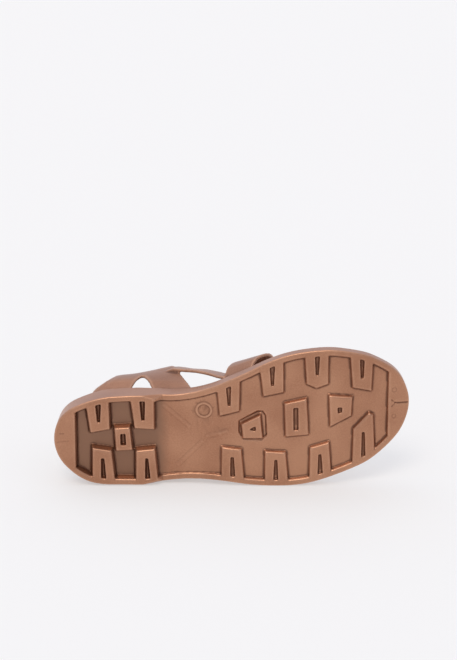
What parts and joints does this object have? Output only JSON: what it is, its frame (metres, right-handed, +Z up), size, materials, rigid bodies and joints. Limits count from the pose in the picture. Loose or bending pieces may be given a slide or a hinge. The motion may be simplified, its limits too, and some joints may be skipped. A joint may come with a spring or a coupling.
{
  "type": "jelly sandal",
  "caption": "Left moulded sandal lying on its lateral side: lugged outsole, open upper of joined straps with a heel loop, T-bar and studded ankle strap.",
  "frame": {"origin": "middle of the lying sandal's bounding box, at the floor", "axes": "+X from heel to toe, +Y from the outsole towards the straps, +Z up from the lateral side to the medial side"},
  "size_m": [0.25, 0.0846, 0.1021],
  "materials": {
    "outsole_bronze": "satin moulded PVC with metallic pigment",
    "insole_bronze": "satin moulded PVC with metallic pigment",
    "upper_bronze": "glossy moulded PVC with metallic pigment",
    "stud_bronze": "glossy moulded PVC with metallic pigment"
  },
  "bodies": {
    "root": {"sole": "outsole_bronze", "insole": "insole_bronze", "upper": "upper_bronze", "stud": "stud_bronze"}
  },
  "joints": []
}
